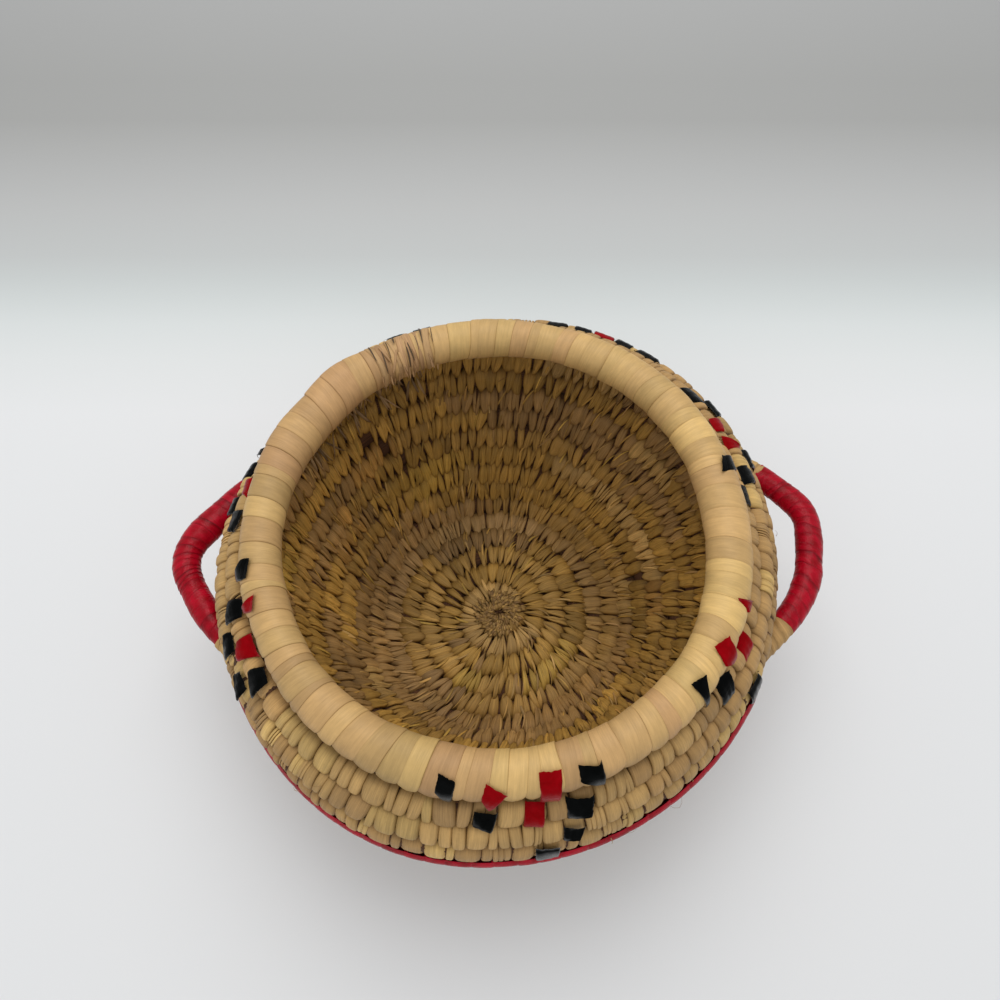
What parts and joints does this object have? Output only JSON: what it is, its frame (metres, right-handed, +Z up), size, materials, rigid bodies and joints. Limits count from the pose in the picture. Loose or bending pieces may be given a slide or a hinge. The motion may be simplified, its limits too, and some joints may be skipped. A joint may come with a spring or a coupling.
{
  "type": "coiled basket",
  "caption": "Round-bellied coiled palm-leaf basket with a wrapped rim, a crimson row, coloured stitches and two wrapped ear handles.",
  "frame": {"origin": "on the floor under the middle of the base, on the basket's own axis", "axes": "+Z up along the basket's axis, +X towards the right handle, -Y towards the front"},
  "size_m": [0.2899, 0.2393, 0.1271],
  "materials": {
    "palm_leaf": "sewn palm leaf, matte",
    "rim_leaf": "wrapped palm leaf, satin",
    "splice_leaf": "rough dry leaf, matte",
    "palm_bundle": "bundled leaf ribs, matte",
    "crimson_plastic": "flat plastic strip, gloss",
    "black_plastic": "flat plastic strip, gloss"
  },
  "bodies": {
    "root": {"black_stitch_01": "black_plastic", "black_stitch_02": "black_plastic", "black_stitch_03": "black_plastic", "black_stitch_04": "black_plastic", "black_stitch_05": "black_plastic", "black_stitch_06": "black_plastic", "black_stitch_07": "black_plastic", "black_stitch_08": "black_plastic", "black_stitch_09": "black_plastic", "black_stitch_10": "black_plastic", "black_stitch_11": "black_plastic", "black_stitch_12": "black_plastic", "black_stitch_13": "black_plastic", "black_stitch_14": "black_plastic", "black_stitch_15": "black_plastic", "black_stitch_16": "black_plastic", "black_stitch_17": "black_plastic", "black_stitch_18": "black_plastic", "black_stitch_19": "black_plastic", "black_stitch_20": "black_plastic", "black_stitch_21": "black_plastic", "black_stitch_22": "black_plastic", "black_stitch_23": "black_plastic", "black_stitch_24": "black_plastic", "black_stitch_25": "black_plastic", "black_stitch_26": "black_plastic", "black_stitch_27": "black_plastic", "black_stitch_28": "black_plastic", "black_stitch_29": "black_plastic", "black_stitch_30": "black_plastic", "left_front_binding": "rim_leaf", "left_handle_core": "palm_bundle", "left_handle_wrap": "crimson_plastic", "left_rear_binding": "rim_leaf", "red_band": "crimson_plastic", "red_stitch_01": "crimson_plastic", "red_stitch_02": "crimson_plastic", "red_stitch_03": "crimson_plastic", "red_stitch_04": "crimson_plastic", "red_stitch_05": "crimson_plastic", "red_stitch_06": "crimson_plastic", "red_stitch_07": "crimson_plastic", "red_stitch_08": "crimson_plastic", "red_stitch_09": "crimson_plastic", "red_stitch_10": "crimson_plastic", "red_stitch_11": "crimson_plastic", "red_stitch_12": "crimson_plastic", "red_stitch_13": "crimson_plastic", "right_front_binding": "rim_leaf", "right_handle_core": "palm_bundle", "right_handle_wrap": "crimson_plastic", "right_rear_binding": "rim_leaf", "rim_core": "palm_bundle", "rim_splice_binding": "splice_leaf", "rim_wrap": "rim_leaf", "wall_coil": "palm_leaf"}
  },
  "joints": []
}
